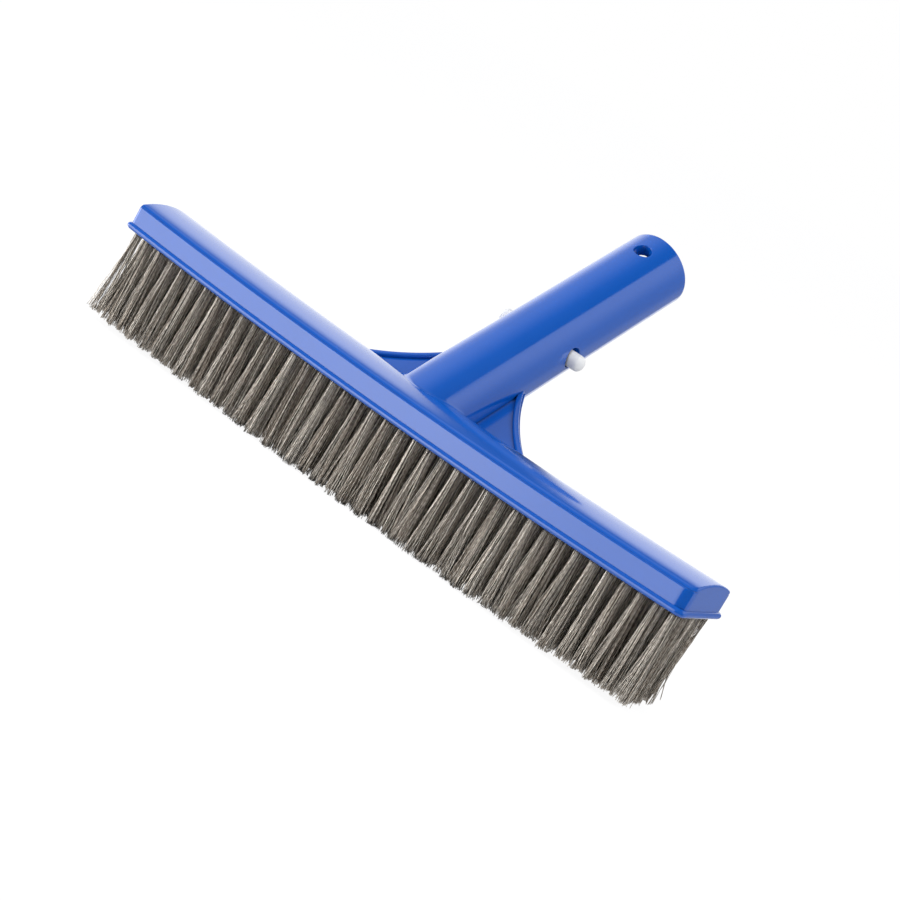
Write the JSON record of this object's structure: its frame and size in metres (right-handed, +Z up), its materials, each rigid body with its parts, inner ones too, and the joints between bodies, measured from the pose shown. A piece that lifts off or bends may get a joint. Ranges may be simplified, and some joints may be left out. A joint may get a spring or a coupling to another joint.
{
  "type": "pool wall brush",
  "caption": "Pool wall brush: a long bowed head with rows of stainless steel wire tufts and an angled tubular handle that a push-button spring clip locks in a pole.",
  "frame": {"origin": "middle of the flat face that the trimmed wire tips make, on which the brush stands", "axes": "+X along the head, +Y towards the handle, +Z up from the wire tips to the head's crown"},
  "size_m": [0.255, 0.141, 0.1231],
  "materials": {
    "blue_plastic": "glossy injection-moulded plastic",
    "clip_plastic": "translucent white plastic, smooth",
    "steel_wire": "crimped bright stainless steel wire",
    "steel_anchor": "plain cut steel"
  },
  "bodies": {
    "brush": {"brush_head": "blue_plastic", "handle_root": "blue_plastic", "handle_spigot": "blue_plastic", "gusset_left": "blue_plastic", "gusset_right": "blue_plastic", "clip_bend": "clip_plastic", "tuft_row_1_left": "steel_wire", "tuft_row_1_middle": "steel_wire", "tuft_row_1_right": "steel_wire", "tuft_row_2_left": "steel_wire", "tuft_row_2_middle": "steel_wire", "tuft_row_2_right": "steel_wire", "tuft_row_3_left": "steel_wire", "tuft_row_3_middle": "steel_wire", "tuft_row_3_right": "steel_wire", "tuft_row_4_left": "steel_wire", "tuft_row_4_middle": "steel_wire", "tuft_row_4_right": "steel_wire", "tuft_row_5_left": "steel_wire", "tuft_row_5_middle": "steel_wire", "tuft_row_5_right": "steel_wire", "tuft_anchors_row_1": "steel_anchor", "tuft_anchors_row_2": "steel_anchor", "tuft_anchors_row_3": "steel_anchor", "tuft_anchors_row_4": "steel_anchor", "tuft_anchors_row_5": "steel_anchor"},
    "clip_arm_left": {"clip_arm_left": "clip_plastic"},
    "clip_arm_right": {"clip_arm_right": "clip_plastic"}
  },
  "joints": [
    {"name": "right_button_press", "type": "hinge", "parent": "brush", "child": "clip_arm_right", "pos_m": [0.00766, 0.03799, 0.05527], "axis": [0, -0.5878, 0.809], "range_deg": [0, 10.3], "stiffness_Nm_per_rad": 1},
    {"name": "left_button_press", "type": "hinge", "parent": "brush", "child": "clip_arm_left", "pos_m": [-0.00766, 0.03799, 0.05527], "axis": [0, 0.5878, -0.809], "range_deg": [0, 10.3], "stiffness_Nm_per_rad": 1}
  ]
}
